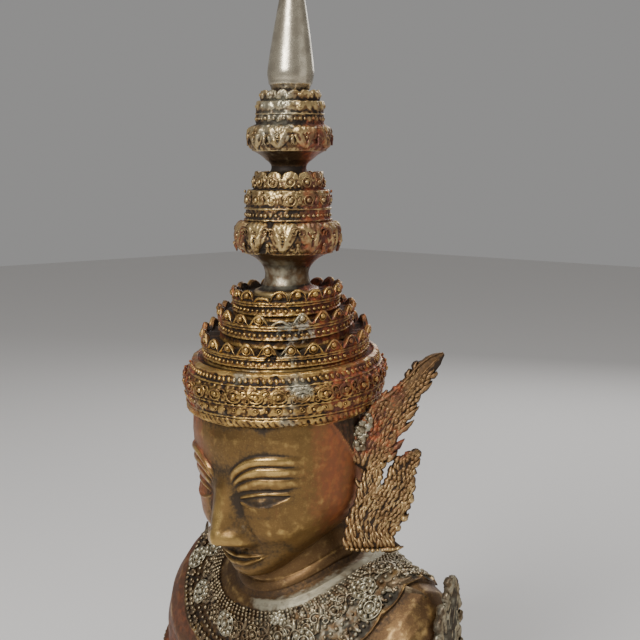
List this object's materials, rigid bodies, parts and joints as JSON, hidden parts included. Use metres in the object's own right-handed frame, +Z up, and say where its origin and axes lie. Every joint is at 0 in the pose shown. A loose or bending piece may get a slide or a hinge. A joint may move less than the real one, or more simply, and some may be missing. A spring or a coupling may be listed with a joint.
{
  "type": "thepphanom angel statue",
  "caption": "Bust of a praying angel in gilt bronze, with a tall tiered crown, flame-shaped ear ornaments and a jewelled collar, cut flat below.",
  "frame": {"origin": "middle of the flat underside, under the brim of the crown", "axes": "+Z up along the crown, the face looks along -Y, +X to the figure's left"},
  "size_m": [0.1946, 0.1143, 0.4233],
  "materials": {
    "gilt_bronze": "aged satin gilding over dark bronze",
    "pale_bronze": "smooth, silver grey where the gilding has gone",
    "flame_bronze": "carved, tan with dark recesses"
  },
  "bodies": {
    "root": {"angel_bust": "gilt_bronze", "crown_finial": "pale_bronze", "ear_flame_left": "flame_bronze", "ear_flame_right": "flame_bronze"}
  },
  "joints": []
}
